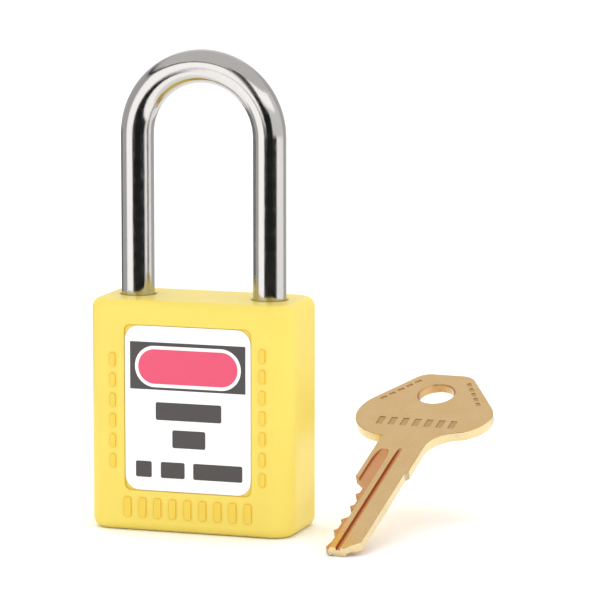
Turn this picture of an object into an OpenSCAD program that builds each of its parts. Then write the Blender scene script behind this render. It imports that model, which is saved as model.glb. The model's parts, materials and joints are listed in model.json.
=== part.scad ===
// Safety padlock: moulded body, long steel shackle, pin-tumbler cylinder, two locking bolts and a key.
// The padlock stands upright on its base. +Z runs up the shackle, the front label faces -Y.

/* [Body] */
// Width of the moulded body, left to right
body_w = 38; // [36:0.5:42]
// Depth of the moulded body, front to back
body_d = 18; // [17.5:0.5:22]
// Height of the moulded body
body_h = 41.5; // [41.5:0.5:44]
// Radius of the four upright corners
corner_r = 4; // [3.5:0.25:4.5]
// Rounding of the top and bottom edges
edge_r = 1.8; // [1:0.1:2.2]

/* [Shackle] */
// Diameter of the shackle bar
bar_d = 6; // [5.5:0.1:6.2]
// Distance between the two leg centres
leg_pitch = 24.8; // [24.4:0.1:25]
// Clear height between the body and the bow
clear_h = 38; // [20:1:76]
// How far the shackle rises when the lock opens
lift = 11; // [10.5:0.25:12]

/* [Cylinder] */
// Diameter of the plug that the key turns
plug_d = 10; // [9.8:0.1:10.2]
// Distance from one pin stack to the next
pin_pitch = 4; // [3.6:0.1:4.2]
// Height of the lowest pin stack above the base
pin_z0 = 6; // [5.6:0.1:6.4]
// Diameter of the pins
pin_d = 2.6; // [2.2:0.1:2.6]
// How far each bolt draws back in a quarter turn
bolt_travel = 3.6; // [3.4:0.1:3.6]
// How deep a locked bolt reaches into the shackle leg
bolt_bite = 1.5; // [1:0.1:1.6]

/* [Label] */
// Width of the label window
window_w = 23.8; // [18:0.5:24]
// Height of the label window
window_h = 29.8; // [20:0.2:30]
// Height of the window's lower edge above the base
window_z = 7.4; // [7.4:0.05:8.4]

/* [Key] */
// Thickness of the key
key_t = 1.8; // [1.8:0.1:2.2]
// Width of the key's blade
blade_w = 8.6; // [8:0.1:8.6]
// Length of the blade, from its tip to the stop
blade_l = 25.4; // [24.8:0.1:27]
// Depth of each cut in the blade, from the bow to the tip
bitting = [2.5, 2.9, 3.3, 2.7, 3.1];
// Slope of the key: its tip is down and its bow is raised
key_pitch = 21.1; // [0:0.1:30]
// Turn of the key in plan, from pointing straight back
key_yaw = -3.6; // [-20:0.1:10]
// Place of the key's tip, to the right of the padlock's middle
key_x = 30.3; // [30.3:0.1:50]
// Place of the key's tip, in front of the padlock's middle
key_y = -18.2; // [-30:0.1:0]

/* [Hidden] */
$fn = 64;
eps = 0.01;

// Inside of the shell: one straight cavity from the base up to the roof
cavity_w = 34.2;
cavity_d = 14.2;
cavity_r = 2.5;
roof_z = body_h - 1.9;
insert_gap = 0.1;
insert_w = cavity_w - 2 * insert_gap;
insert_d = cavity_d - 2 * insert_gap;

// Screw posts in the cavity's corners
post_x = 15.1;
post_y = 5.1;
post_r = 2;
post_top = 13;
screw_r = 0.95;
screw_l = 9;
screw_head_r = 1.5;
screw_head_h = 0.75;
screw_point = 0.5;
screw_gap = 0.15;
thread_gap = 0.02;
sink_h = 1;
sunk = 0.05;
socket_r = 0.65;
socket_depth = 0.65;

// Levels, from the base up
cover_t = 2.2;
core_top = 30.8;
carrier_floor = 32.7;
carrier_top = roof_z - 0.8;
lid_t = 0.7;
toe_hole_z = 31.6;

// Shackle
bar_r = bar_d / 2;
leg_x = leg_pitch / 2;
leg_hole_r = bar_r + 0.15;
hole_chamfer = 0.45;
shackle_top = body_h + clear_h + bar_d;
bow_z = shackle_top - bar_r - leg_x;
heel_end = 12;
toe_end = 31.9;
end_chamfer = 0.5;
leg_face = leg_x - bar_r;

// Bolts and the notches they enter
bolt_w = 4;
bolt_gap = 0.05;
bolt_z0 = 32.8;
bolt_z1 = 38.4;
tip_h = 1;
ramp_rise = bolt_bite * lift / bolt_travel;
notch_gap = 0.15;
notch_room = 0.1;
bolt_tip = leg_face + bolt_bite;
bolt_back = 7.4;
nose_r = 1.2;
nose_x = 7.45;
nose_inset = 0.1;

// Cam that drives the bolts: its edge falls evenly over a quarter turn
cam_r1 = 5.8;
cam_r0 = cam_r1 - bolt_travel;
cam_z0 = 32.9;
cam_z1 = 38.2;
cam_step = 2.3;
cam_hole_r = 6.2;
spiral_steps = 30;
arc_steps = 16;

// Stop pin that rides in a slot of the long leg
stop_r = 0.9;
stop_fit = 0.02;
stop_play = 0.2;
slot_gap = 0.05;
slot_head = 0.3;
stop_z = 26;
stop_x = -leg_face - 0.35;
slot_depth = 1.4;
neck_r = 1.85;

// Cylinder
plug_r = plug_d / 2;
plug_z0 = 0.4;
cyl_z0 = cover_t;
cyl_z1 = 29.2;
flange_r = 5.6;
flange_top = 2;
cover_hole_r = 5.75;
housing_r = 6.2;
bible_x = 14.8;
bible_w = 5;
pocket_gap = 0.1;
turn_gap = 0.05;
keyway_x0 = -4.65;
keyway_w = key_t + 0.2;
keyway_play = 0.15;
keyway_top = 28.4;
keyway_x1 = keyway_x0 + blade_w + keyway_play;
pin_r = pin_d / 2;
pin_hole_r = pin_r + turn_gap;
// Ends of the key pins and drivers on either side of the shear line
shear_in = plug_r - 0.22;
shear_out = plug_r + 0.12;
driver_l = 3.5;
pin_chamfer = 0.5;
spring_end = bible_x - 0.1;
strip_t = 0.3;
strip_margin = 0.2;
head_r = 4.85;
clip_neck_r = plug_r - 1;
clip_r = 5.9;
clip_mouth = 4.8;
clip_gap = 0.1;
neck_z1 = 30.1;
head_z1 = 30.7;
tang_l = 7;
tang_w = 2.6;
tang_top = 36.5;
tang_gap = 0.06;
tang_clear = 0.15;

// Label
recess = 0.5;
label_t = 0.25;
label_gap = 0.12;
window_r = 1.2;
label_r = 2.7;

// Raised marks on the front face, in place of lettering
mark_h = 0.25;
mark_w = 1;
mark_l = 2.4;
mark_root = 0.3;
left_marks = 6;
left_mark_x = -14;
left_mark_z = [12.6, 30.8];
right_marks = 7;
right_mark_x = 14;
right_mark_z = [10.6, 32.7];
bars = 9;
bar_span = 22.6;
bar_w = 1.3;
bar_l = 3.6;
bar_z = 4.4;

// Springs
wire_sides = 6;
heel_spring_r = 2.2;
heel_wire = 0.35;
heel_turns = 8;
boss_gap = 0.2;
boss_h = 2;
end_gap = 0.05;
small_spring_r = 0.95;
small_wire = 0.17;
small_turns = 8;
ring_steps = 14;

// Key
// Circles of the bow's outline: across, along, radius
left_lobe = [-3.6, 45.8, 8.2];
right_lobe = [7.6, 46.1, 6.3];
left_tail = [-1.9, 56.5, 3.5];
right_tail = [3.9, 56.5, 3.5];
bow_root = 40;
fillet_r = 6;
fillet_sink = 0.05;
tip_cut = 2.6;
tip_bevel = 0.6;
tip_slope = 2.4;
cut_flat = 1.2;
cut_first = blade_l - pin_z0 + plug_z0;
hole_a = 53;
hole_b = 1;
hole_r = 3.3;
// Milled grooves: left side, right side, depth
grooves = [[-3.4, -0.75, 0.4], [0.3, 1.3, 0.5]];
groove_l = 31.5;
stop_step = 0.5;
stop_slope = 0.8;

// ---- shared shapes ----

module rounded_plan(w, d, r) {
    square([w - 2 * r, d], center = true);
    square([w, d - 2 * r], center = true);
    for (x = [-1, 1], y = [-1, 1])
        translate([x * (w / 2 - r), y * (d / 2 - r)])
            circle(r);
}

// Upright profile of a w x h face whose four corners are rounded
module rounded_face(w, h, r) {
    translate([0, h / 2])
        rounded_plan(w, h, r);
}

// Block with upright corners of radius r and a smaller rounding e along its top and bottom edges
module rounded_block(w, d, h, r, e) {
    translate([0, d / 2 - r, 0])
        rotate([90, 0, 0])
            linear_extrude(d - 2 * r)
                rounded_face(w, h, e);
    translate([-w / 2 + r, 0, 0])
        rotate([90, 0, 90])
            linear_extrude(w - 2 * r)
                rounded_face(d, h, e);
    for (x = [-1, 1], y = [-1, 1])
        translate([x * (w / 2 - r), y * (d / 2 - r), 0])
            rounded_corner(h, r, e);
}

module rounded_corner(h, r, e) {
    rotate_extrude() {
        square([r - e, h]);
        translate([0, e])
            square([r, h - 2 * e]);
        for (z = [e, h - e])
            translate([r - e, z])
                circle(e);
    }
}

module at_posts() {
    for (x = [-1, 1], y = [-1, 1])
        translate([x * post_x, y * post_y])
            children();
}

module cavity_plan() {
    difference() {
        rounded_plan(cavity_w, cavity_d, cavity_r);
        at_posts()
            circle(post_r);
    }
}

// Plan of the blocks that slide into the cavity
module insert_plan() {
    difference() {
        rounded_plan(insert_w, insert_d, cavity_r - insert_gap);
        at_posts()
            circle(post_r + insert_gap);
    }
}

module upright(z0, z1) {
    translate([0, 0, z0])
        linear_extrude(z1 - z0)
            children();
}

module upright_rod(x, r, z0, z1) {
    translate([x, 0, z0])
        cylinder(h = z1 - z0, r = r);
}

// Plate that stands in the XZ plane, from y0 back by t
module standing_plate(w, h, r, y0, t) {
    translate([0, y0 + t, 0])
        rotate([90, 0, 0])
            linear_extrude(t)
                rounded_face(w, h, r);
}

function ring_point(i, r, wire, pitch, k) =
    let (turn = 360 * i / ring_steps, side = 360 * k / wire_sides)
    let (out = r + wire * cos(side))
    [out * cos(turn), out * sin(turn), pitch * i / ring_steps + wire * sin(side)];

// Open coil spring along +Z: mean radius r, wire radius wire, height between the end wires' centres
module coil(r, wire, turns, height) {
    n = turns * ring_steps;
    pitch = height / turns;
    points = [for (i = [0:n], k = [0:wire_sides - 1]) ring_point(i, r, wire, pitch, k)];
    walls = [for (i = [0:n - 1], k = [0:wire_sides - 1])
        let (k2 = (k + 1) % wire_sides)
        [i * wire_sides + k, (i + 1) * wire_sides + k, (i + 1) * wire_sides + k2, i * wire_sides + k2]];
    first = [for (k = [0:wire_sides - 1]) k];
    last = [for (k = [0:wire_sides - 1]) n * wire_sides + wire_sides - 1 - k];
    polyhedron(points, concat([first], walls, [last]), convexity = 6);
}

// ---- moulded body ----

module leg_holes(z0, z1) {
    for (x = [-leg_x, leg_x])
        upright_rod(x, leg_hole_r, z0, z1);
}

module window_recess() {
    translate([0, 0, window_z])
        standing_plate(window_w, window_h, window_r, -body_d / 2 - 1, 1 + recess);
}

module mark(x, z, w, l) {
    translate([x - w / 2, -body_d / 2 - mark_h, z - l / 2])
        cube([w, mark_h + mark_root, l]);
}

module mark_column(x, count, z_range) {
    step = (z_range[1] - z_range[0]) / (count - 1);
    for (i = [0:count - 1])
        mark(x, z_range[0] + i * step, mark_w, mark_l);
}

module relief_marks() {
    mark_column(left_mark_x, left_marks, left_mark_z);
    mark_column(right_mark_x, right_marks, right_mark_z);
    for (i = [0:bars - 1])
        mark(-bar_span / 2 + i * bar_span / (bars - 1), bar_z, bar_w, bar_l);
}

module body_shell() {
    color("gold")
        difference() {
            union() {
                rounded_block(body_w, body_d, body_h, corner_r, edge_r);
                relief_marks();
            }
            upright(-1, cover_t)
                rounded_plan(cavity_w, cavity_d, cavity_r);
            upright(cover_t - eps, roof_z)
                cavity_plan();
            leg_holes(roof_z - 1, body_h + 1);
            for (x = [-leg_x, leg_x])
                translate([x, 0, body_h - hole_chamfer])
                    cylinder(h = hole_chamfer + eps, r1 = leg_hole_r, r2 = leg_hole_r + hole_chamfer);
            window_recess();
            rotate([0, 0, 180])
                window_recess();
            at_posts()
                upright_rod(0, screw_r, 0, post_top);
        }
}

module base_cover() {
    color("goldenrod")
        difference() {
            union() {
                upright(0, cover_t)
                    rounded_plan(insert_w, insert_d, cavity_r - insert_gap);
                upright_rod(-leg_x, heel_spring_r - heel_wire - boss_gap, cover_t - eps, cover_t + boss_h);
            }
            upright_rod(0, cover_hole_r, -1, cover_t + 1);
            at_posts() {
                upright_rod(0, screw_r + screw_gap, -1, cover_t + 1);
                translate([0, 0, -eps])
                    cylinder(h = sink_h, r1 = screw_head_r + insert_gap, r2 = screw_r + insert_gap);
            }
        }
}

module cover_screws() {
    shank_r = screw_r - thread_gap;
    color("silver")
        at_posts()
            difference() {
                union() {
                    translate([0, 0, sunk])
                        cylinder(h = screw_head_h, r1 = screw_head_r, r2 = shank_r);
                    upright_rod(0, shank_r, sunk, screw_l);
                    translate([0, 0, screw_l])
                        cylinder(h = screw_point, r1 = shank_r, r2 = shank_r / 2);
                }
                translate([0, 0, sunk - eps])
                    cylinder(h = socket_depth, r = socket_r, $fn = 6);
            }
}

// ---- inner blocks ----

module core_block() {
    pocket_top = cyl_z1 + pocket_gap;
    color("dimgray")
        difference() {
            upright(cover_t, core_top)
                insert_plan();
            upright_rod(-leg_x, leg_hole_r, cover_t - 1, core_top + 1);
            upright_rod(0, housing_r + pocket_gap, cover_t - 1, core_top + 1);
            translate([0, -bible_w / 2 - pocket_gap, cover_t - 1])
                cube([bible_x + strip_t + pocket_gap, bible_w + 2 * pocket_gap, pocket_top - cover_t + 1]);
            translate([stop_x, cavity_d / 2, stop_z])
                rotate([90, 0, 0])
                    cylinder(h = cavity_d, r = stop_r + stop_fit);
        }
}

module bolt_carrier() {
    channel_l = 2 * leg_x;
    color("darkgray")
        difference() {
            upright(core_top, carrier_top)
                insert_plan();
            upright_rod(-leg_x, leg_hole_r, core_top - 1, carrier_top + 1);
            upright_rod(leg_x, leg_hole_r, toe_hole_z, carrier_top + 1);
            upright_rod(0, norm([tang_l, tang_w]) / 2 + tang_clear, core_top - 1, carrier_top + 1);
            upright_rod(0, cam_hole_r, carrier_floor, carrier_top + 1);
            translate([-channel_l / 2, -bolt_w / 2 - bolt_gap, carrier_floor])
                cube([channel_l, bolt_w + 2 * bolt_gap, carrier_top + 1 - carrier_floor]);
        }
}

module carrier_lid() {
    color("lightgray")
        difference() {
            upright(carrier_top, carrier_top + lid_t)
                insert_plan();
            leg_holes(carrier_top - 1, carrier_top + 2);
        }
}

// ---- labels ----

module label() {
    translate([0, 0, window_z + label_gap])
        standing_plate(window_w - 2 * label_gap, window_h - 2 * label_gap, label_r,
            -body_d / 2 + recess - label_t, label_t);
}

module front_label() {
    color("white")
        label();
}

module rear_label() {
    color("white")
        rotate([0, 0, 180])
            label();
}

// ---- shackle ----

module leg(x, z0) {
    upright_rod(x, bar_r, z0 + end_chamfer, bow_z);
    translate([x, 0, z0])
        cylinder(h = end_chamfer, r1 = bar_r - end_chamfer, r2 = bar_r);
}

module bow() {
    translate([0, 0, bow_z])
        rotate([90, 0, 0])
            rotate_extrude(angle = 180)
                translate([leg_x, 0])
                    circle(bar_r);
}

// Notch on the inner side of the right-hand leg: the bolt's nose with a running gap
module notch() {
    drop = ramp_rise / bolt_bite;
    deep = bolt_tip + notch_gap;
    tip_z = bolt_z1 - tip_h - notch_gap;
    back = leg_face - 1;
    ceiling = bolt_z1 + notch_gap + notch_room;
    translate([0, bar_r + 1, 0])
        rotate([90, 0, 0])
            linear_extrude(2 * bar_r + 2)
                polygon([[back, tip_z - drop * (deep - back)], [deep, tip_z],
                    [deep, ceiling], [back, ceiling]]);
}

module stop_slot() {
    z0 = stop_z - lift - stop_play - stop_r - slot_gap;
    z1 = stop_z + stop_r + slot_head;
    neck_h = 2 * stop_r + 2 * slot_head;
    translate([-leg_face - slot_depth, -bar_r - 1, z0])
        cube([slot_depth + 1, bar_d + 2, z1 - z0]);
    translate([-leg_x, 0, z0])
        difference() {
            cylinder(h = neck_h, r = bar_r + 1);
            translate([0, 0, -1])
                cylinder(h = neck_h + 2, r = neck_r);
        }
}

module shackle() {
    color("lightsteelblue")
        difference() {
            union() {
                leg(-leg_x, heel_end);
                leg(leg_x, toe_end);
                bow();
            }
            notch();
            mirror([1, 0, 0])
                notch();
            stop_slot();
        }
}

module shackle_stop_pin() {
    color("silver")
        translate([stop_x, insert_d / 2 - insert_gap, stop_z])
            rotate([90, 0, 0])
                cylinder(h = insert_d - 2 * insert_gap, r = stop_r);
}

module heel_spring() {
    z0 = cover_t + heel_wire + end_gap;
    z1 = heel_end - heel_wire - end_gap;
    color("silver")
        translate([-leg_x, 0, z0])
            coil(heel_spring_r, heel_wire, heel_turns, z1 - z0);
}

// ---- cylinder ----

module at_pin(i) {
    translate([0, 0, pin_z0 + (i - 1) * pin_pitch])
        rotate([0, 90, 0])
            children();
}

module cylinder_housing() {
    color("burlywood")
        difference() {
            union() {
                upright_rod(0, housing_r, cyl_z0, cyl_z1);
                translate([0, -bible_w / 2, cyl_z0])
                    cube([bible_x, bible_w, cyl_z1 - cyl_z0]);
            }
            upright_rod(0, plug_r + turn_gap, cyl_z0 - 1, cyl_z1 + 1);
            for (i = [1:5])
                at_pin(i)
                    translate([0, 0, plug_r - 1])
                        cylinder(h = bible_x, r = pin_hole_r);
        }
}

module chamber_strip() {
    color("peru")
        translate([bible_x, -bible_w / 2 + strip_margin, cyl_z0 + strip_margin])
            cube([strip_t, bible_w - 2 * strip_margin, cyl_z1 - cyl_z0 - 2 * strip_margin]);
}

module tang_plan(l, w) {
    square([l, w], center = true);
}

module plug() {
    color("khaki")
        difference() {
            union() {
                upright_rod(0, flange_r, plug_z0, flange_top);
                upright_rod(0, plug_r, plug_z0, cyl_z1 + turn_gap);
                upright_rod(0, clip_neck_r, cyl_z1, neck_z1 + eps);
                upright_rod(0, head_r, neck_z1, head_z1);
                upright(head_z1 - eps, tang_top)
                    tang_plan(tang_l, tang_w);
            }
            translate([keyway_x0, -keyway_w / 2, -1])
                cube([keyway_x1 - keyway_x0, keyway_w, keyway_top + 1]);
            for (i = [1:5])
                at_pin(i)
                    cylinder(h = plug_r + 1, r = pin_hole_r);
        }
}

module retaining_clip() {
    clip_z = cyl_z1 + turn_gap + clip_gap;
    color("silver")
        difference() {
            upright_rod(0, clip_r, clip_z, neck_z1 - clip_gap);
            upright_rod(0, clip_neck_r + turn_gap, clip_z - 1, neck_z1 + 1);
            translate([-clip_r - 1, -clip_mouth / 2, clip_z - 1])
                cube([clip_r + 1, clip_mouth, neck_z1 - clip_z + 2]);
        }
}

function cam_edge(a) = cam_r1 - bolt_travel * a / 90;

// Half of the cam's outline: the falling spiral, then the full-radius arc and the step that ends it
function cam_half() = concat(
    [for (i = [spiral_steps:-1:1]) let (a = 90 * i / spiral_steps) cam_edge(a) * [cos(a), -sin(a)]],
    [for (i = [0:arc_steps]) let (a = acos(cam_step / cam_r1) * i / arc_steps) cam_r1 * [cos(a), sin(a)]],
    [[cam_step, cam_r0]]);

module lock_cam() {
    color("sienna")
        upright(cam_z0, cam_z1)
            difference() {
                polygon(concat(cam_half(), -cam_half()));
                tang_plan(tang_l + 2 * tang_gap, tang_w + 2 * tang_gap);
            }
}

module bolt() {
    translate([0, bolt_w / 2, 0])
        rotate([90, 0, 0])
            linear_extrude(bolt_w)
                polygon(bolt_side());
    upright_rod(nose_x, nose_r, bolt_z0 + nose_inset, bolt_z1 - nose_inset);
}

// Side view of a bolt: flat on top, with a ramp under its tip as steep as the lift against the travel
function bolt_side() = [
    [bolt_back, bolt_z0],
    [bolt_tip - (bolt_z1 - tip_h - bolt_z0) * bolt_travel / lift, bolt_z0],
    [bolt_tip, bolt_z1 - tip_h],
    [bolt_tip, bolt_z1],
    [bolt_back, bolt_z1]];

module toe_bolt() {
    color("slategray")
        bolt();
}

module heel_bolt() {
    color("slategray")
        rotate([0, 0, 180])
            bolt();
}

// ---- pin stacks ----

// Inner end of a key pin: where the blade's cut would lie with the key home
function pin_inner(i) = keyway_x0 + blade_w - bitting[i - 1];

module key_pin(i) {
    color("tan")
        at_pin(i) {
            translate([0, 0, pin_inner(i)])
                cylinder(h = pin_chamfer, r1 = pin_r - pin_chamfer, r2 = pin_r);
            translate([0, 0, pin_inner(i) + pin_chamfer])
                cylinder(h = shear_in - pin_inner(i) - pin_chamfer, r = pin_r);
        }
}

module driver_pin(i) {
    color("silver")
        at_pin(i)
            translate([0, 0, shear_out])
                cylinder(h = driver_l, r = pin_r);
}

module driver_spring(i) {
    z0 = shear_out + driver_l + small_wire + end_gap;
    z1 = spring_end - small_wire;
    color("silver")
        at_pin(i)
            translate([0, 0, z0])
                coil(small_spring_r, small_wire, small_turns, z1 - z0);
}

// ---- key ----

function cut_a(i) = cut_first - i * pin_pitch;

// Peak between cut i and the next one, where their 45 degree flanks meet
function peak(i) =
    let (a = (cut_a(i) + cut_a(i + 1)) / 2 + (bitting[i + 1] - bitting[i]) / 2,
        d = bitting[i] - (cut_a(i) - cut_flat - a))
    [-blade_w / 2 + max(d, 0), a];

function cut_points(i) = [
    [-blade_w / 2 + bitting[i], cut_a(i) + cut_flat],
    [-blade_w / 2 + bitting[i], cut_a(i) - cut_flat]];

module key_outline() {
    half = blade_w / 2;
    polygon(concat(
        [[-half, bow_root], [-half, cut_a(0) + cut_flat + bitting[0]]],
        [for (i = [0:4]) each i < 4 ? concat(cut_points(i), [peak(i)]) : cut_points(i)],
        [[-half + tip_cut, tip_bevel], [-half + tip_cut + tip_bevel, 0],
            [half - tip_slope, 0], [half, tip_slope], [half, blade_l],
            [half + stop_step, blade_l + stop_slope], [half + stop_step, bow_root]]));
    hull()
        for (c = [left_lobe, right_lobe, left_tail, right_tail])
            translate([c[0], c[1]])
                circle(c[2]);
    neck_fillet(half + stop_step);
}

// Hollow curve from the blade's straight side to the bow's right-hand lobe, tangent to both
module neck_fillet(side) {
    lobe = [right_lobe[0], right_lobe[1]];
    across = side + fillet_r - lobe[0];
    mid = lobe + [across, -sqrt(pow(right_lobe[2] + fillet_r, 2) - across * across)];
    touch = lobe + (mid - lobe) * (right_lobe[2] - fillet_sink) / norm(mid - lobe);
    difference() {
        polygon([[side - eps, mid[1]], touch, lobe, [side - eps, lobe[1]]]);
        translate(mid)
            circle(fillet_r);
    }
}

module key_flat() {
    difference() {
        linear_extrude(key_t)
            key_outline();
        translate([hole_b, hole_a, -1])
            cylinder(h = key_t + 2, r = hole_r);
        for (g = grooves)
            translate([g[0], -1, key_t - g[2]])
                cube([g[1] - g[0], groove_l + 1, key_t]);
    }
}

module key() {
    color("wheat")
        translate([key_x, key_y, 0])
            rotate([key_pitch, 0, key_yaw])
                key_flat();
}

body_shell();
base_cover();
cover_screws();
core_block();
bolt_carrier();
carrier_lid();
front_label();
rear_label();
shackle();
shackle_stop_pin();
heel_spring();
cylinder_housing();
plug();
retaining_clip();
lock_cam();
heel_bolt();
toe_bolt();
chamber_strip();
key_pin(1);  // key_pin_1
key_pin(2);  // key_pin_2
key_pin(3);  // key_pin_3
key_pin(4);  // key_pin_4
key_pin(5);  // key_pin_5
driver_pin(1);  // driver_pin_1
driver_pin(2);  // driver_pin_2
driver_pin(3);  // driver_pin_3
driver_pin(4);  // driver_pin_4
driver_pin(5);  // driver_pin_5
driver_spring(1);  // driver_spring_1
driver_spring(2);  // driver_spring_2
driver_spring(3);  // driver_spring_3
driver_spring(4);  // driver_spring_4
driver_spring(5);  // driver_spring_5
key();
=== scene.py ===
import json
import math
import bmesh
import bpy
from mathutils import Matrix, Vector


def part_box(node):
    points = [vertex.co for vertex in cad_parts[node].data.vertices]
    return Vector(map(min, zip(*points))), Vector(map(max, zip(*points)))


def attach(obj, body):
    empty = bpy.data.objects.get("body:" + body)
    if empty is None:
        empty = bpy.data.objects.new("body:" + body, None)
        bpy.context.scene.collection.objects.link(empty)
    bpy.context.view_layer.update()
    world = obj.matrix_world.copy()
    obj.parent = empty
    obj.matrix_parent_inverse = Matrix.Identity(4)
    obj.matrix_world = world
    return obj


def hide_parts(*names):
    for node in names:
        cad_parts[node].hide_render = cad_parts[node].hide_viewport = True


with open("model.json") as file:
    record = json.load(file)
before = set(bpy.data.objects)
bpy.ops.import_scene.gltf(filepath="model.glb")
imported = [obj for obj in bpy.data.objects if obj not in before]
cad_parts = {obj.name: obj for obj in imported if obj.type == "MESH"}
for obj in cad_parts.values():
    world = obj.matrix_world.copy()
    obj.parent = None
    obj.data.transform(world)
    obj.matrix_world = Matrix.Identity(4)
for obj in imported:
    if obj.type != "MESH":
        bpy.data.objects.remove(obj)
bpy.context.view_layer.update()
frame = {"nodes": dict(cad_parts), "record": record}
NODES = frame["nodes"]
RECORD = frame["record"]
MM = 0.001
SHARP_ANGLE = 40


# ---- sizes read from the frame, in millimetres ----

def size_of(node):
    low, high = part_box(node)
    return low / MM, high / MM


BODY_LOW, BODY_HIGH = size_of("body_shell")
BODY_W = BODY_HIGH.x - BODY_LOW.x
BODY_D = 2 * BODY_HIGH.y
BODY_H = BODY_HIGH.z
FRONT = -BODY_D / 2
MARK_PROUD = FRONT - BODY_LOW.y
COVER_LOW, COVER_HIGH = size_of("base_cover")
LABEL_LOW, LABEL_HIGH = size_of("front_label")
CORE_LOW = size_of("core_block")[0]
SHACKLE_LOW, SHACKLE_HIGH = size_of("shackle")
BAR_R = SHACKLE_HIGH.y
LEG_X = SHACKLE_HIGH.x - BAR_R
BOW_Z = SHACKLE_HIGH.z - BAR_R - LEG_X
LID_HIGH = size_of("carrier_lid")[1]

# Cutters reach this far past the faces they cut
PAST = 1.0

# Body
CORNER_R = 4.0
EDGE_R = 1.8
WINDOW_GAP = 0.12
WINDOW_R = 1.2
WINDOW_LIP = 0.28
LEG_HOLE_R = BAR_R + 0.15
HOLE_LIP = 0.45
CAVITY_R = 2.5
CAVITY_GAP = 0.1
POST_X, POST_Y, POST_R = 15.1, 5.1, 2.0
SCREW_HOLE_R, SCREW_HOLE_FOOT, SCREW_HOLE_TOP = 0.95, 0.5, 13.0

# Raised blocks that stand where the real lock carries moulded words
BLOCK_W, BLOCK_H = 1.0, 2.4
BLOCK_X = 14.0
# How many to each side, and the heights of the first and last
LEFT_BLOCKS = (6, 12.6, 30.8)
RIGHT_BLOCKS = (7, 10.6, 32.7)
# The row under the label
BAR_SPAN, BAR_W, BAR_H, BAR_Z, BARS = 22.6, 1.3, 3.5, 4.4, 9
BLOCK_CORNER_R, BLOCK_RIM, BLOCK_SUNK = 0.35, 0.12, 0.3

# Labels: printed layers, each (across, height of middle, width, height)
PRINT_T = 0.015
LABEL_R, LABEL_RIM = 2.7, 0.05
BAND = (0.0, 29.95, 21.6, 8.5)
BAND_R = 0.12
RING = (0.05, 29.85, 19.8, 7.4)
RING_T = 0.6
# Flat left between the two arcs of the ring's ends, so that they don't meet in a point
END_FLAT = 0.03
# Plain blocks where the real label carries words: left end, right end, foot, head
WORD_BLOCKS = [(-6.0, 6.3, 20.3, 23.5), (-2.9, 3.3, 15.4, 18.6),
               (-9.8, -6.8, 9.9, 12.8), (-5.1, -0.6, 9.9, 12.8), (1.0, 10.2, 9.9, 12.8)]
WORD_R = 0.35

# Shackle
TOE_END = 31.9
BAR_CHAMFER = 0.5
RING_STEPS = 72
# Half the width of what cuts right across the bar
OUTSIDE = BAR_R + PAST
# Notches: the bolts' tips and top faces, with the play round them
BOLT_PLAY = 0.15
NOTCH_DEEP = 10.9 + BOLT_PLAY
NOTCH_TIP, NOTCH_TOP = 37.4 - BOLT_PLAY, 38.65
NOTCH_SLOPE = 11 / 3.6
# The long leg's slot for the stop pin, and the neck that lets the open shackle turn
SLOT_LOW, SLOT_HIGH, SLOT_DEEP = 13.85, 27.2, 1.4
NECK_R, NECK_H, NECK_STEPS = 1.85, 2.4, 60

# Camera
CAMERA_AT = (227.5, -640.3, 140.3)
LOOK_AT = (14.82, 6.92, 41.42)

# Key, across and along from the blade's tip
KEY_T = 1.8
KEY_RIM = 0.18
BLADE_W, BLADE_L = 8.6, 25.4
CUTS = (2.5, 2.9, 3.3, 2.7, 3.1)
CUT_FIRST, CUT_PITCH, CUT_FLAT = 19.8, 4.0, 1.2
# The faces of the cuts lie left of this line and below this height
CUT_SIDE = 0.5 - BLADE_W / 2 + max(CUTS)
CUT_HEAD = CUT_FIRST + CUT_FLAT + CUTS[0] + 0.2
# The tip: a blunt left corner (in from the blade's side, along) and a bevel on the right
TIP_BLUNT = ((2.6, 0.6), (3.2, 0))
TIP_BEVEL = 2.4
# Circles of the bow: across, along, radius
LEFT_LOBE, RIGHT_LOBE = (-3.6, 45.8, 8.2), (7.6, 46.1, 6.3)
LEFT_TAIL, RIGHT_TAIL = (-1.9, 56.5, 3.5), (3.9, 56.5, 3.5)
HOLE_A, HOLE_B, HOLE_R = 53.0, 1.0, 3.3
HOLE_CHAMFER = 0.25
STOP_STEP, STOP_SLOPE = 0.5, 0.8
FILLET_R = 6.0
# Milled grooves: left side, right side, depth, end, face (1 the top, -1 the underside)
GROOVES = ((0.3, 1.3, 0.5, 33.5, 1), (-3.4, -0.75, 0.4, 33.0, 1),
           (2.0, 3.2, 0.5, 32.0, -1), (-1.2, -0.2, 0.5, 32.0, -1))
GROOVE_RUN_OUT, GROOVE_STEPS = 4.0, 12
# A groove's mouth stands this far above the face when it cuts, and its floor keeps this depth
GROOVE_MOUTH, GROOVE_LEAST = 0.3, 0.002
# Rows of plain dashes where the real bow is stamped with words:
# count, first across, first along, step across, step along, width, height, turn in degrees
DASH_ROWS = ((7, -6.2, 42.6, 2.3, 0, 1.2, 2.6, 0),
             (5, -8.4, 50.5, 1.15, 1.6, 0.75, 1.3, -36),
             (5, 10.0, 50.2, -0.95, 1.65, 0.75, 1.3, 32))
DASH_R, DASH_DEEP, DASH_RIM = 0.15, 0.09, 0.02


# ---- meshes ----

def arc(cx, cy, r, start, end, steps):
    """Points of an arc, angles in degrees, both ends included."""
    turn = [math.radians(start + (end - start) * i / steps) for i in range(steps + 1)]
    return [(cx + r * math.cos(t), cy + r * math.sin(t)) for t in turn]


def rounded_rect(w, h, r, steps=8):
    """Anticlockwise outline of a w x h rectangle about the origin, corners of radius r."""
    x, y = w / 2 - r, h / 2 - r
    corners = ((x, y, 0), (-x, y, 90), (-x, -y, 180), (x, -y, 270))
    return [p for cx, cy, a in corners for p in arc(cx, cy, r, a, a + 90, steps)]


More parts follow.
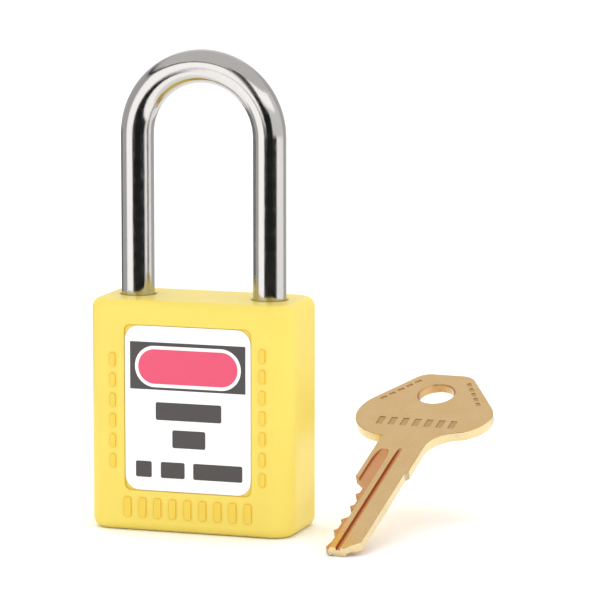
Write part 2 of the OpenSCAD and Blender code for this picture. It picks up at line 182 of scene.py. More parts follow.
def new_object(name, data):
    obj = bpy.data.objects.new(name, data)
    bpy.context.scene.collection.objects.link(obj)
    return obj


def from_bmesh(name, bm):
    mesh = bpy.data.meshes.new(name)
    bm.to_mesh(mesh)
    bm.free()
    return new_object(name, mesh)


def raw_mesh(name, verts, faces):
    """An object from points in millimetres."""
    mesh = bpy.data.meshes.new(name)
    mesh.from_pydata([[c * MM for c in v] for v in verts], [], faces)
    mesh.validate()
    return new_object(name, mesh)


def loft(name, rings):
    """Skin through rings of equal length, capped at both ends."""
    n = len(rings[0])
    verts = [p for ring in rings for p in ring]
    faces = []
    for i in range(len(rings) - 1):
        a, b = i * n, (i + 1) * n
        faces += [(a + k, a + (k + 1) % n, b + (k + 1) % n, b + k) for k in range(n)]
    faces += [tuple(reversed(range(n))), tuple(range(len(verts) - n, len(verts)))]
    obj = raw_mesh(name, verts, faces)
    fix_normals(obj)
    return obj


def fix_normals(obj):
    bm = bmesh.new()
    bm.from_mesh(obj.data)
    bmesh.ops.recalc_face_normals(bm, faces=bm.faces)
    bm.to_mesh(obj.data)
    bm.free()


def weld(obj):
    """Merges points two microns apart or less, which a cut can leave, and drops faces of no area."""
    bm = bmesh.new()
    bm.from_mesh(obj.data)
    bmesh.ops.remove_doubles(bm, verts=bm.verts, dist=0.002 * MM)
    bmesh.ops.dissolve_degenerate(bm, dist=0.001 * MM, edges=bm.edges)
    bm.to_mesh(obj.data)
    bm.free()


def edge_profile(low, high, r, steps=5):
    """(height, inset) pairs of a slab from low to high whose two rims are rounded by r."""
    right_angle = math.pi / 2
    turn = [right_angle * i / steps for i in range(steps + 1)]
    foot = [(low + r * (1 - math.sin(right_angle - t)), r * (1 - math.cos(right_angle - t)))
            for t in turn]
    head = [(high - r * (1 - math.sin(t)), r * (1 - math.cos(t))) for t in turn]
    return foot + head


def slab(name, w, h, r, low, high, rim, place, steps=8):
    """Rounded plate: outline w x h with corners r, thickness low to high, rims rounded by rim.
    place turns a point of the plate's own (across, up, thickness) frame into the padlock's frame."""
    rings = []
    for level, inset in edge_profile(low, high, rim):
        outline = rounded_rect(w - 2 * inset, h - 2 * inset, max(r - inset, 0.02), steps)
        rings.append([place(x, y, level) for x, y in outline])
    return loft(name, rings)


def revolve(name, profile, steps=64, centre=(0, 0)):
    """Solid of revolution about an upright axis; profile is (radius, z) from bottom to top."""
    x, y = centre
    circle = arc(0, 0, 1, 0, 360 - 360 / steps, steps - 1)
    return loft(name, [[(x + r * c, y + r * s, z) for c, s in circle] for r, z in profile])


def join(name, parts):
    bm = bmesh.new()
    for part in parts:
        bm.from_mesh(part.data)
        bpy.data.objects.remove(part)
    return from_bmesh(name, bm)


def combine(obj, other, operation="DIFFERENCE", own_finish=False):
    """Boolean of obj with other, applied. own_finish keeps other's material on the faces it makes."""
    step = obj.modifiers.new("combine", "BOOLEAN")
    step.operation = operation
    step.solver = "EXACT"
    step.material_mode = "TRANSFER" if own_finish else "INDEX"
    step.object = other
    cut = obj.evaluated_get(bpy.context.evaluated_depsgraph_get())
    result = bpy.data.meshes.new_from_object(cut)
    obj.modifiers.clear()
    obj.data = result
    bpy.data.objects.remove(other)
    return obj


def piece(obj, name, body, slot, material, *nodes):
    """Finishes a mesh: name, shading, material if it has none, body, and the nodes it stands for."""
    obj.name = name
    mesh = obj.data
    mesh.name = name
    if not mesh.materials:
        mesh.materials.append(material)
    mesh.polygons.foreach_set("use_smooth", [True] * len(mesh.polygons))
    mesh.set_sharp_from_angle(angle=math.radians(SHARP_ANGLE))
    weighted = obj.modifiers.new("flat faces", "WEIGHTED_NORMAL")
    weighted.keep_sharp = True
    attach(obj, body)
    if nodes:
        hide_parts(*nodes)
    return obj


# ---- materials ----

class Surface:
    """A Principled material with procedural detail in the object's own coordinates."""

    def __init__(self, name, **values):
        self.material = bpy.data.materials.new(name)
        self.material.use_nodes = True
        self.tree = self.material.node_tree
        self.shader = self.tree.nodes["Principled BSDF"]
        self.place = self.add("ShaderNodeTexCoord").outputs["Object"]
        for key, value in values.items():
            self.shader.inputs[key.replace("_", " ")].default_value = value

    def add(self, kind, **values):
        node = self.tree.nodes.new(kind)
        for key, value in values.items():
            node.inputs[key.replace("_", " ")].default_value = value
        return node

    def link(self, source, target):
        self.tree.links.new(source, target)

    def stretched(self, scale):
        node = self.add("ShaderNodeMapping", Scale=scale)
        self.link(self.place, node.inputs["Vector"])
        return node.outputs["Vector"]

    def noise(self, size, detail=3, place=None, roughness=0.55):
        """Noise whose features are about size millimetres wide, 0 to 1 but mostly near the middle."""
        node = self.add("ShaderNodeTexNoise", Scale=1 / (size * MM), Detail=detail, Roughness=roughness)
        self.link(place or self.place, node.inputs["Vector"])
        return node.outputs["Fac"]

    def spread(self, source, low, high, from_low=0.3, from_high=0.7):
        """The source's range from_low to from_high stretched over low to high."""
        node = self.add("ShaderNodeMapRange")
        limits = {"From Min": from_low, "From Max": from_high, "To Min": low, "To Max": high}
        for key, value in limits.items():
            node.inputs[key].default_value = value
        self.link(source, node.inputs["Value"])
        return node.outputs["Result"]

    def blend(self, share, first, second):
        """First where share is 0, second where it is 1; each is a colour or a socket."""
        node = self.tree.nodes.new("ShaderNodeMix")
        node.data_type = "RGBA"
        for socket, colour in ((node.inputs[6], first), (node.inputs[7], second)):
            if isinstance(colour, tuple):
                socket.default_value = (*colour, 1)
            else:
                self.link(colour, socket)
        self.link(share, node.inputs[0])
        return node.outputs[2]

    def colour(self, source):
        self.link(source, self.shader.inputs["Base Color"])

    def roughness(self, source):
        self.link(source, self.shader.inputs["Roughness"])

    def relief(self, *layers):
        """Bump layers, each (height source, depth in millimetres)."""
        last = None
        for height, depth in layers:
            node = self.add("ShaderNodeBump", Strength=1.0, Distance=depth * MM)
            self.link(height, node.inputs["Height"])
            if last:
                self.link(last, node.inputs["Normal"])
            last = node.outputs["Normal"]
        self.link(last, self.shader.inputs["Normal"])

    def crevice_shade(self, reach):
        """Mask for painted shade: 0 on open faces, up to 1 in corners and grooves narrower than reach
        millimetres.
        """
        node = self.add("ShaderNodeAmbientOcclusion", Distance=reach * MM)
        node.samples = 8
        node.only_local = True
        return self.spread(node.outputs["AO"], 1.0, 0.0, 0.35, 0.95)


def moulded_plastic(name, light, deep, rough=0.33):
    """Satin plastic: fine mould grain, slow waves of sinking, painted shade deepening the colour in the
    corners.
    """
    s = Surface(name, IOR=1.42)
    s.shader.inputs["Specular IOR Level"].default_value = 0.2
    tone = s.blend(s.spread(s.noise(9, 2), 0, 1), light, tuple(c * 0.965 for c in light))
    # Painted shade: the colour turns to deep in corners and recesses, where shade falls.
    s.colour(s.blend(s.crevice_shade(0.55), tone, deep))
    s.roughness(s.spread(s.noise(0.9, 4), rough - 0.05, rough + 0.06))
    s.relief((s.noise(0.22, 2), 0.004), (s.noise(6, 2), 0.02))
    return s.material


def vinyl(name, tone, rough=0.42):
    """Label film or print: faintly mottled, with a fine orange-peel skin."""
    s = Surface(name, IOR=1.46)
    s.colour(s.blend(s.spread(s.noise(3, 3), 0, 1), tone, tuple(c * 0.97 for c in tone)))
    s.roughness(s.spread(s.noise(0.6, 3), rough - 0.05, rough + 0.06))
    s.relief((s.noise(0.3, 2), 0.002))
    return s.material


def plated_steel(name):
    """Bright plate with fine drawing lines along the bar, pits and hairline scratches."""
    s = Surface(name, Metallic=1.0)
    lines = s.noise(0.10, 2, s.stretched((1, 1, 0.02)))
    pits = s.spread(s.noise(0.2, 3, roughness=0.7), 0, 1, 0.64, 0.72)
    s.colour(s.blend(pits, (0.515, 0.50, 0.49), (0.30, 0.285, 0.27)))
    s.roughness(s.spread(s.noise(1.4, 4), 0.08, 0.15))
    s.relief((lines, 0.006), (s.noise(0.2, 3, roughness=0.7), 0.0035), (s.noise(2.2, 3), 0.006))
    return s.material


def turned_metal(name, tone, rough=0.28, grain=0.12, stretch=(1, 1, 12)):
    """Machined metal: fine rings or lines, a little tone variation, painted shade darkening the corners.
    """
    s = Surface(name, Metallic=1.0)
    worn = s.blend(s.spread(s.noise(2.5, 4), 0, 1), tone, tuple(c * 0.86 for c in tone))
    # Painted shade: the colour darkens to under half its tone in corners and recesses, where shade falls.
    s.colour(s.blend(s.crevice_shade(0.5), worn, tuple(c * 0.45 for c in tone)))
    s.roughness(s.spread(s.noise(0.8, 4), rough - 0.07, rough + 0.1))
    s.relief((s.noise(grain, 2, s.stretched(stretch)), 0.004))
    return s.material


def cast_metal(name, tone):
    """Dull die-cast metal with a grainy skin."""
    s = Surface(name, Metallic=1.0)
    s.colour(s.blend(s.spread(s.noise(1.2, 5), 0, 1), tone, tuple(c * 0.75 for c in tone)))
    s.roughness(s.spread(s.noise(0.5, 4), 0.42, 0.6))
    s.relief((s.noise(0.25, 4), 0.02))
    return s.material


def key_metal(name, tone, deep, rough=0.24):
    """Satin nickel-brass: faint rolling lines across the key, mottled shine, painted shade in the
    corners.
    """
    s = Surface(name, Metallic=1.0)
    dulled = (tone[0] * 0.97, tone[1] * 0.93, tone[2] * 0.86)
    worn = s.blend(s.spread(s.noise(3.5, 4), 0, 1), tone, dulled)
    # Painted shade: the colour turns to deep in corners, grooves and recesses.
    s.colour(s.blend(s.crevice_shade(0.4), worn, deep))
    s.roughness(s.spread(s.noise(1.1, 4), rough - 0.06, rough + 0.07))
    s.relief((s.noise(0.3, 2, s.stretched((1, 0.15, 1))), 0.0005), (s.noise(2.4, 3), 0.004))
    return s.material


# Amber of the painted shade in the body plastic's corners and round its raised blocks.
PAINTED_SHADE_AMBER = (0.74, 0.40, 0.03)
plastic = moulded_plastic("body_plastic", (0.795, 0.63, 0.125), PAINTED_SHADE_AMBER)
# Darker copy of the body plastic for the raised blocks: painted shade round the moulded marks.
plastic_painted_shade = moulded_plastic("body_relief_painted_shade", (0.78, 0.565, 0.078), PAINTED_SHADE_AMBER)
label_white = vinyl("label_white", (0.90, 0.90, 0.895))
ink_dark = vinyl("ink_dark", (0.052, 0.046, 0.045), 0.38)
ink_red = vinyl("ink_red", (0.71, 0.064, 0.145), 0.38)
ink_white = vinyl("ink_white", (0.92, 0.92, 0.915), 0.38)
chrome = plated_steel("shackle_plate")
brass = turned_metal("turned_brass", (0.70, 0.50, 0.24))
steel = turned_metal("turned_steel", (0.50, 0.50, 0.50), 0.3)
wire = turned_metal("spring_wire", (0.55, 0.54, 0.53), 0.22, 0.08, (1, 1, 1))
zinc = cast_metal("cast_zinc", (0.42, 0.43, 0.44))
nylon = moulded_plastic("core_nylon", (0.035, 0.035, 0.038), (0.012, 0.012, 0.013), 0.5)
key_brass = key_metal("key_brass", (0.78, 0.54, 0.268), (0.40, 0.19, 0.08))
key_copper = key_metal("key_groove", (0.74, 0.37, 0.165), (0.34, 0.12, 0.045), 0.3)
# Darker copy of the key metal for the cut faces: painted shade, for the dark side of the studio they
# mirror.
key_cut_painted_shade = key_metal("key_cuts", (0.50, 0.31, 0.135), (0.28, 0.12, 0.05), 0.34)
# Paler copy of the key metal for the blank's other sides: painted highlight, for the bright light they
# mirror.
key_side_painted_highlight = key_metal("key_rim", (0.78, 0.65, 0.39), (0.40, 0.24, 0.11), 0.28)
# Darker copy of the key metal for the ring hole's wall and the stamped dashes: painted shade.
key_shade = key_metal("key_stamp", (0.62, 0.40, 0.19), (0.34, 0.16, 0.07), 0.3)

SLOT_LOOK = {"body": plastic, "label": label_white, "core": nylon, "shackle": chrome, "steel": steel,
             "spring": wire, "zinc": zinc, "brass": brass, "key": key_brass}
SLOT_OF = {s["node"]: s["material_slot"] for s in RECORD["subparts"]}
for name, obj in NODES.items():
    for place in obj.material_slots:
        place.material = SLOT_LOOK[SLOT_OF[name]]


# ---- moulded body ----

def body_block():
    """The body's outside: an upright block with round corners and rounded rims."""
    rings = []
    for level, inset in edge_profile(0, BODY_H, EDGE_R, 8):
        outline = rounded_rect(BODY_W - 2 * inset, BODY_D - 2 * inset, CORNER_R - inset, 12)
        rings.append([(x, y, level) for x, y in outline])
    return loft("block", rings)


def window_cutter(side):
    """Recess with a rounded lip; side is -1 for the front and 1 for the rear."""
    w = LABEL_HIGH.x - LABEL_LOW.x + 2 * WINDOW_GAP
    h = LABEL_HIGH.z - LABEL_LOW.z + 2 * WINDOW_GAP
    mid = (LABEL_HIGH.z + LABEL_LOW.z) / 2
    floor = BODY_D / 2 - abs(LABEL_HIGH.y)
    steps = [(-PAST, WINDOW_LIP), (0.0, WINDOW_LIP)]
    for a in range(15, 91, 15):
        t = math.radians(a)
        steps.append((WINDOW_LIP * (1 - math.cos(t)), WINDOW_LIP * (1 - math.sin(t))))
    steps.append((floor, 0.0))
    rings = []
    for depth, grow in steps:
        outline = rounded_rect(w + 2 * grow, h + 2 * grow, WINDOW_R + grow)
        rings.append([(x, side * (BODY_D / 2 - depth), mid + z) for x, z in outline])
    return loft("window", rings)


def leg_hole_cutter(x):
    """Round hole with a rounded mouth, down through the body's roof."""
    lip = []
    for a in range(90, -1, -15):
        t = math.radians(a)
        lip.append((LEG_HOLE_R + HOLE_LIP * (1 - math.sin(t)), BODY_H - HOLE_LIP * (1 - math.cos(t))))
    profile = [(LEG_HOLE_R, LID_HIGH.z - PAST)] + lip + [(lip[-1][0], BODY_H + PAST)]
    return revolve("leg_hole", profile, 48, (x, 0))


def at_posts(r, low, high):
    """Round bars at the cavity's four screw posts."""
    bars = [revolve("bar", [(r, low), (r, high)], 32, (sx * POST_X, sy * POST_Y))
            for sx in (-1, 1) for sy in (-1, 1)]
    return join("bars", bars)


def cavity_cutter():
    """The space inside the body, open at the base, less the four screw posts."""
    w = COVER_HIGH.x - COVER_LOW.x + 2 * CAVITY_GAP
    d = COVER_HIGH.y - COVER_LOW.y + 2 * CAVITY_GAP
    heights = (-PAST, LID_HIGH.z + CAVITY_GAP)
    cavity = loft("cavity", [[(x, y, z) for x, y in rounded_rect(w, d, CAVITY_R)] for z in heights])
    return combine(cavity, at_posts(POST_R, CORE_LOW.z, BODY_H))


def raised_block(x, z, w, h):
    """Block on the body's front face, with its foot sunk into it."""
    return slab("raised", w, h, BLOCK_CORNER_R, -BLOCK_SUNK, MARK_PROUD, BLOCK_RIM,
                lambda across, up, out: (x + across, FRONT - out, z + up), 4)


def raised_blocks():
    parts = []
    for side, (count, low, high) in ((-1, LEFT_BLOCKS), (1, RIGHT_BLOCKS)):
        parts += [raised_block(side * BLOCK_X, low + (high - low) * i / (count - 1), BLOCK_W, BLOCK_H)
                  for i in range(count)]
    parts += [raised_block(BAR_SPAN * (i / (BARS - 1) - 0.5), BAR_Z, BAR_W, BAR_H) for i in range(BARS)]
    return join("raised_blocks", parts)


def make_body():
    body = body_block()
    body.data.materials.append(plastic)
    raised = raised_blocks()
    # The raised blocks take the darker copy of the plastic as painted shade.
    raised.data.materials.append(plastic_painted_shade)
    combine(body, raised, "UNION", own_finish=True)
    for side in (-1, 1):
        combine(body, window_cutter(side))
    combine(body, join("leg_holes", [leg_hole_cutter(-LEG_X), leg_hole_cutter(LEG_X)]))
    combine(body, cavity_cutter())
    combine(body, at_posts(SCREW_HOLE_R, SCREW_HOLE_FOOT, SCREW_HOLE_TOP))
    piece(body, "moulded_body", "root", "body", plastic, "body_shell")


# ---- labels ----

def label_side(side, x, z):
    """Plate frame on the front (side -1) or rear (side 1) label; thickness starts at the recess floor."""
    floor = abs(LABEL_HIGH.y)
    return lambda across, up, out: (-side * (x + across), side * (floor + out), z + up)


def printed(name, side, x, z, w, h, r, level, ink):
    """Printed layer whose top lies at level above the recess floor."""
    obj = slab(name, w, h, r, level - PRINT_T, level, PRINT_T / 3, label_side(side, x, z), 16)
    return piece(obj, name, "root", "label", ink)


def make_label(side, prefix, node):
    """White sheet, dark band, white ring with its red field, and the plain blocks under them."""
    thick = LABEL_HIGH.y - LABEL_LOW.y
    w, h = LABEL_HIGH.x - LABEL_LOW.x, LABEL_HIGH.z - LABEL_LOW.z
    mid = (LABEL_HIGH.z + LABEL_LOW.z) / 2
    sheet_t = thick - 3 * PRINT_T
    plate = slab(prefix, w, h, LABEL_R, 0, sheet_t, LABEL_RIM, label_side(side, 0, mid), 12)
    piece(plate, prefix + "_sheet", "root", "label", label_white, node)
    top = sheet_t + PRINT_T
    printed(prefix + "_band", side, *BAND, BAND_R, top, ink_dark)
    x, z, w, h = RING
    printed(prefix + "_ring", side, x, z, w, h, h / 2 - END_FLAT, top + PRINT_T, ink_white)
    w, h = w - 2 * RING_T, h - 2 * RING_T
    printed(prefix + "_field", side, x, z, w, h, h / 2 - END_FLAT, top + 2 * PRINT_T, ink_red)
    for i, (x0, x1, z0, z1) in enumerate(WORD_BLOCKS):
        printed(f"{prefix}_block_{i + 1}", side, (x0 + x1) / 2, (z0 + z1) / 2, x1 - x0, z1 - z0,
                WORD_R, top, ink_dark)


# ---- shackle ----

def bar_ring(centre, across, r):
    """Ring of radius r about centre; the bar's section lies in the plane of across and Y."""
    points = []
    for c, s in arc(0, 0, r, 0, 360 - 360 / RING_STEPS, RING_STEPS - 1):
        points.append((centre[0] + across[0] * c, s, centre[1] + across[1] * c))
    return points


def shackle_bar():
    """The bent bar, from the long leg's foot over the bow to the short leg's foot."""
    foot, end_r = SHACKLE_LOW.z, BAR_R - BAR_CHAMFER
    steps = [(-LEG_X, foot, -1, 0, end_r), (-LEG_X, foot + BAR_CHAMFER, -1, 0, BAR_R)]
    for a in range(180, -1, -3):
        c, s = math.cos(math.radians(a)), math.sin(math.radians(a))
        steps.append((LEG_X * c, BOW_Z + LEG_X * s, c, s, BAR_R))
    steps += [(LEG_X, TOE_END + BAR_CHAMFER, 1, 0, BAR_R), (LEG_X, TOE_END, 1, 0, end_r)]
    return loft("bar", [bar_ring((x, z), (ax, az), r) for x, z, ax, az, r in steps])


def bolt_notch(side):
    """Notch in the leg on that side for its bolt's sloping tip."""
    face = LEG_X - BAR_R - PAST
    outline = [(face, NOTCH_TIP - NOTCH_SLOPE * (NOTCH_DEEP - face)), (NOTCH_DEEP, NOTCH_TIP),
               (NOTCH_DEEP, NOTCH_TOP), (face, NOTCH_TOP)]
    return loft("notch", [[(side * x, y, z) for x, z in outline] for y in (-OUTSIDE, OUTSIDE)])


def leg_cylinder(r, low, high):
    return revolve("cylinder", [(r, low), (r, high)], NECK_STEPS, (-LEG_X, 0))


def stop_slot():
    """Slot along the long leg's inner side, with a turned neck round the leg at its foot."""
    inner = -(LEG_X - BAR_R)
    x0, x1 = inner - SLOT_DEEP, inner + PAST
    slot = loft("slot", [[(x0, -OUTSIDE, z), (x1, -OUTSIDE, z), (x1, OUTSIDE, z), (x0, OUTSIDE, z)]
                         for z in (SLOT_LOW, SLOT_HIGH)])
    neck_top = SLOT_LOW + NECK_H
    ring = leg_cylinder(OUTSIDE, SLOT_LOW, neck_top)
    combine(ring, leg_cylinder(NECK_R, SLOT_LOW - PAST, neck_top + PAST))
    return combine(ring, slot, "UNION")


def make_shackle():
    bar = shackle_bar()
    for cutter in (bolt_notch(1), bolt_notch(-1), stop_slot()):
        combine(bar, cutter)
    weld(bar)
    piece(bar, "plated_shackle", "shackle", "shackle", chrome, "shackle")


# ---- key ----

def key_frame():
    """Turns (across, along, thick) of the key into the padlock's frame, from the ring hole's mount."""
    mount = next(m for m in RECORD["mounts"] if m["name"] == "key_ring_hole")
    up = Vector(mount["axis"])
    pitch = math.acos(up.z)
    yaw = math.atan2(up.x, -up.y)
    turn = Matrix.Rotation(yaw, 3, "Z") @ Matrix.Rotation(pitch, 3, "X")
    start = Vector(mount["pos_m"]) / MM - turn @ Vector((HOLE_B, HOLE_A, KEY_T / 2))
    return lambda across, along, thick: tuple(start + turn @ Vector((across, along, thick)))


def tangent_angle(first, second):
    """Angle in degrees of the outward normal of the line that touches two circles met anticlockwise."""
    dx, dy = second[0] - first[0], second[1] - first[1]
    return math.degrees(math.atan2(dy, dx) - math.acos((first[2] - second[2]) / math.hypot(dx, dy)))


def bow_outline(start):
    """Anticlockwise round the bow, from the angle start on the right lobe to the blade's left side."""
    right = tangent_angle(RIGHT_LOBE, RIGHT_TAIL)
    left = tangent_angle(LEFT_TAIL, LEFT_LOBE) % 360
    root = 360 - math.degrees(math.acos((-BLADE_W / 2 - LEFT_LOBE[0]) / LEFT_LOBE[2]))
    return (arc(*RIGHT_LOBE, start, right, 28) + arc(*RIGHT_TAIL, right, 90, 12)
            + arc(*LEFT_TAIL, 90, left, 12) + arc(*LEFT_LOBE, left, root, 32))


def cut_points():
    """The bitting edge, from the bow to the tip."""
    half = BLADE_W / 2
    points = [(-half, CUT_FIRST + CUT_FLAT + CUTS[0])]
    for i, depth in enumerate(CUTS):
        a = CUT_FIRST - i * CUT_PITCH
        points += [(-half + depth, a + CUT_FLAT), (-half + depth, a - CUT_FLAT)]
        if i + 1 < len(CUTS):
            mid = a - CUT_PITCH / 2 + (CUTS[i + 1] - depth) / 2
            points.append((-half + max(depth - (a - CUT_FLAT - mid), 0), mid))
    return points


def key_outline():
    """Closed outline: bitting, tip, straight side with its stop, neck fillet, bow."""
    half = BLADE_W / 2
    side = half + STOP_STEP
    centre_x = side + FILLET_R
    reach = RIGHT_LOBE[2] + FILLET_R
    centre_y = RIGHT_LOBE[1] - math.sqrt(reach ** 2 - (centre_x - RIGHT_LOBE[0]) ** 2)
    touch = math.degrees(math.atan2(centre_y - RIGHT_LOBE[1], centre_x - RIGHT_LOBE[0]))
    tip = [(-half + x, y) for x, y in TIP_BLUNT] + [(half - TIP_BEVEL, 0), (half, TIP_BEVEL)]
    straight = [(half, BLADE_L), (side, BLADE_L + STOP_SLOPE)]
    neck = arc(centre_x, centre_y, FILLET_R, 180, touch + 180, 14)
    return cut_points() + tip + straight + neck[:-1] + bow_outline(touch)


def key_plate():
    """The cut blank with rounded rims; its cut faces take material 1, a darker copy as painted shade, and
    its other sides material 2, a paler copy as painted highlight.
    """
    bm = bmesh.new()
    face = bm.faces.new([bm.verts.new((x * MM, y * MM, 0)) for x, y in key_outline()])
    bmesh.ops.recalc_face_normals(bm, faces=[face])
    grown = bmesh.ops.extrude_face_region(bm, geom=[face])
    top = [v for v in grown["geom"] if isinstance(v, bmesh.types.BMVert)]
    bmesh.ops.translate(bm, verts=top, vec=(0, 0, KEY_T * MM))
    bmesh.ops.recalc_face_normals(bm, faces=bm.faces)
    rims = [e for e in bm.edges if abs(e.verts[0].co.z - e.verts[1].co.z) < MM / 100]
    bmesh.ops.bevel(bm, geom=rims, offset=KEY_RIM * MM, segments=3, profile=0.5, affect="EDGES",
                    clamp_overlap=True)
    for face in bm.faces:
        x, y = face.calc_center_median().xy / MM
        if abs(face.normal.z) < 0.5:
            face.material_index = 1 if x < CUT_SIDE and y < CUT_HEAD else 2
    return from_bmesh("key", bm)


def ring_hole():
    """Cutter for the ring hole, chamfered at both faces."""
    wide, lip = HOLE_R + HOLE_CHAMFER, HOLE_CHAMFER
    profile = [(wide, -lip), (wide, 0), (HOLE_R, lip), (HOLE_R, KEY_T - lip),
               (wide, KEY_T), (wide, KEY_T + lip)]
    return revolve("hole", profile, 64, (HOLE_B, HOLE_A))


def groove(left, right, depth, end, face):
    """Cutter for one of GROOVES; it narrows and runs out at its end, like the path of a round cutter."""
    surface = KEY_T if face > 0 else 0.0
    middle = (left + right) / 2
    rings = []
    for i in range(GROOVE_STEPS + 2):
        t = max(0.0, (i - 1) / GROOVE_STEPS)
        a = -PAST if i == 0 else end - GROOVE_RUN_OUT * (1 - t)
        deep = depth * math.sqrt(1 - t * t) + GROOVE_LEAST
        half = (right - left) / 2 * (0.3 + 0.7 * deep / depth)
        wall = min(0.25 * deep, half * 0.4)
        outline = [(-half, GROOVE_MOUTH), (-half, 0), (wall - half, -deep),
                   (half - wall, -deep), (half, 0), (half, GROOVE_MOUTH)]
        rings.append([(middle + x, a, surface + face * z) for x, z in outline])
    return loft("groove", rings)


def dash(x, a, w, h, turn):
    """Cutter for one shallow dash in the bow's top face."""
    c, s = math.cos(math.radians(turn)), math.sin(math.radians(turn))
    return slab("dash", w, h, DASH_R, KEY_T - DASH_DEEP, KEY_T + GROOVE_MOUTH, DASH_RIM,
                lambda u, v, z: (x + u * c - v * s, a + u * s + v * c, z), 4)


def shallow_marks():
    parts = [dash(x + dx * i, a + da * i, w, h, turn)
             for count, x, a, dx, da, w, h, turn in DASH_ROWS for i in range(count)]
    return join("marks", parts)


def make_key():
    plate = key_plate()
    # Material 1, a darker copy for the cut faces, is painted shade; material 2, a paler copy for the
    # other sides, is painted highlight.
    for finish in (key_brass, key_cut_painted_shade, key_side_painted_highlight):
        plate.data.materials.append(finish)
    hole = ring_hole()
    # The ring hole's wall and the dashes take the darker copy of the key metal as painted shade.
    hole.data.materials.append(key_shade)
    combine(plate, hole, own_finish=True)
    marks = shallow_marks()
    marks.data.materials.append(key_shade)
    combine(plate, marks, own_finish=True)
    for cutter in [groove(*sizes) for sizes in GROOVES]:
        cutter.data.materials.append(key_copper)
        combine(plate, cutter, own_finish=True)
    place = key_frame()
    for v in plate.data.vertices:
        v.co = Vector(place(*(v.co / MM))) * MM
    fix_normals(plate)
    piece(plate, "cut_key", "key", "key", key_brass, "key")


make_body()
make_label(-1, "front_label", "front_label")
make_label(1, "rear_label", "rear_label")
make_shackle()
make_key()


# ---- floor, light and camera ----

def stage_mesh(name, verts, faces, material):
    obj = raw_mesh(name, verts, faces)
    obj.data.materials.append(material)
    return obj


def make_floor():
    s = Surface("floor_paper", Roughness=0.9)
    s.shader.inputs["Specular IOR Level"].default_value = 0.0
    s.colour(s.blend(s.spread(s.noise(40, 3), 0, 1), (1.0, 1.0, 0.995), (0.985, 0.985, 0.98)))
    half = 6000
    corners = [(-half, -half, 0), (half, -half, 0), (half, half, 0), (-half, half, 0)]
    stage_mesh("floor", corners, [(0, 1, 2, 3)], s.material)


def reflected_only(obj):
    """The card shows in shiny surfaces and nowhere else."""
    obj.visible_camera = False
    obj.visible_diffuse = False
    obj.visible_shadow = False
    obj.visible_transmission = False


# Finish of a dark or grey card seen only in reflections: painted reflection of a dark panel.
def matt_card_finish(name, tone):
    s = Surface(name, Base_Color=(tone, tone, tone, 1), Roughness=1.0)
    s.shader.inputs["Specular IOR Level"].default_value = 0.0
    return s.material


# Finish of a glowing card seen only in reflections: painted reflection of a bright panel; it lights
# nothing.
def glow(name, radiance):
    s = Surface(name, Base_Color=(0, 0, 0, 1), Emission_Color=(1.0, 0.995, 0.985, 1),
                Emission_Strength=radiance)
    s.shader.inputs["Specular IOR Level"].default_value = 0.0
    return s.material


def curved_card(name, left, right, path, material):
    """Card bent round the padlock from azimuth left to right; path is (distance, height) pairs."""
    steps = 12 if right - left < 200 else 36
    verts = []
    for reach, z in path:
        for i in range(steps + 1):
            a = math.radians(left + (right - left) * i / steps)
            verts.append((reach * math.sin(a), -reach * math.cos(a), z))
    n = steps + 1
    faces = [(j * n + i, j * n + i + 1, (j + 1) * n + i + 1, (j + 1) * n + i)
             for j in range(len(path) - 1) for i in range(steps)]
    reflected_only(stage_mesh(name, verts, faces, material))


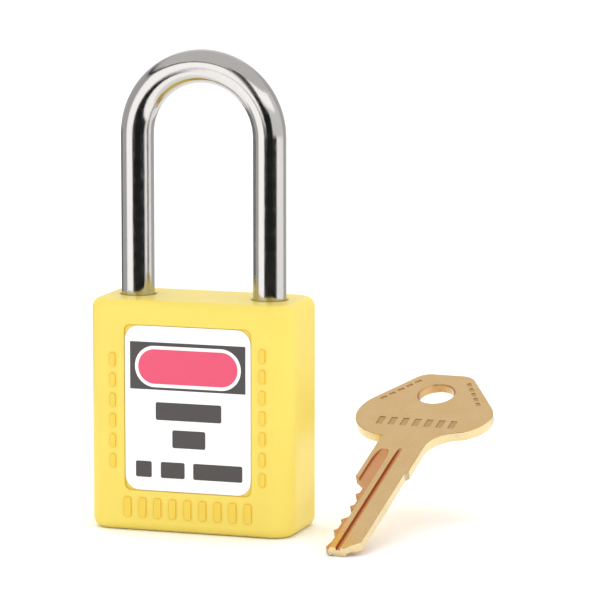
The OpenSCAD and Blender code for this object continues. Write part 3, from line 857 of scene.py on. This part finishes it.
def make_cards():
    """Painted reflections: the studio's dark side and its lighter panels, which light nothing, cast no
    shadow and show only as the plated bar and the key mirror them.
    Azimuths are in degrees, 0 in front of the padlock and positive to its right."""
    black = matt_card_finish("card_black", 0.014)
    grey = matt_card_finish("card_grey", 0.1)
    white = glow("card_white", 1.75)
    pale = glow("card_pale", 1.7)
    dull = glow("card_dull", 0.63)
    wall = glow("card_wall", 0.66)
    roof = glow("card_roof", 0.83)
    curved_card("dark_floor", -17, 64, [(150, 1), (1250, 1)], black)
    curved_card("mid_floor", 64, 71, [(150, 1), (1250, 1)], dull)
    curved_card("dark_upright", 0, 42, [(1250, 1), (1250, 420)], black)
    curved_card("dark_high", 2, 22, [(1250, 430), (1250, 1240)], grey)
    curved_card("white_upright", -60, -3, [(1200, 1), (1200, 720)], white)
    curved_card("white_floor", -60, -19, [(142, 2), (1150, 2)], white)
    curved_card("pale_floor", -75, 75, [(60, 1), (140, 1)], pale)
    curved_card("dark_line", -120, 1, [(1150, 730), (1150, 870)], black)
    curved_card("dull_left", -140, -62, [(150, 1), (1250, 1), (1250, 1080)], dull)
    curved_card("wall_right", 124, 176, [(150, 1), (1500, 1), (1500, 1300)], wall)
    curved_card("dark_back", 232, 254, [(150, 2), (1400, 2), (1400, 420)], grey)
    curved_card("white_high", 24, 90, [(1100, 480), (1100, 980)], white)
    curved_card("roof", 0, 360, [(1500, 1300), (1100, 1500), (1, 1560)], roof)


def soft_light(name, azimuth, elevation, distance, width, height, radiance):
    """Soft box aimed at the padlock and not mirrored in it, its brightness given as radiance."""
    a, e = math.radians(azimuth), math.radians(elevation)
    back = Vector((math.sin(a) * math.cos(e), -math.cos(a) * math.cos(e), math.sin(e)))
    light = bpy.data.lights.new(name, "AREA")
    light.shape = "RECTANGLE"
    light.size, light.size_y = width * MM, height * MM
    light.energy = radiance * math.pi * width * height * MM * MM
    obj = new_object(name, light)
    obj.location = (Vector((0, 0, BODY_H)) + back * distance) * MM
    obj.rotation_euler = back.to_track_quat("Z", "Y").to_euler()
    obj.visible_camera = False
    obj.visible_glossy = False


def make_world():
    world = bpy.data.worlds.new("studio")
    world.use_nodes = True
    back = world.node_tree.nodes["Background"]
    back.inputs["Color"].default_value = (1.0, 0.998, 0.992, 1)
    back.inputs["Strength"].default_value = 1.0
    bpy.context.scene.world = world


def make_camera():
    """Long lens, a little right of the padlock's front and above it, level from side to side."""
    camera = bpy.data.cameras.new("camera")
    camera.sensor_width = 36
    camera.lens = 235.4
    camera.clip_start, camera.clip_end = 0.01, 50
    obj = new_object("camera", camera)
    obj.location = Vector(CAMERA_AT) * MM
    look = Vector(LOOK_AT) * MM - obj.location
    obj.rotation_euler = look.to_track_quat("-Z", "Y").to_euler()
    bpy.context.scene.camera = obj


make_floor()
make_cards()
make_world()
soft_light("left_box", -40, 12, 900, 720, 900, 0.75)
soft_light("right_box", 75, 22, 900, 800, 900, 1.15)
soft_light("top_box", -150, 62, 1000, 900, 900, 1.35)
make_camera()
bpy.context.scene.view_settings.view_transform = "Standard"
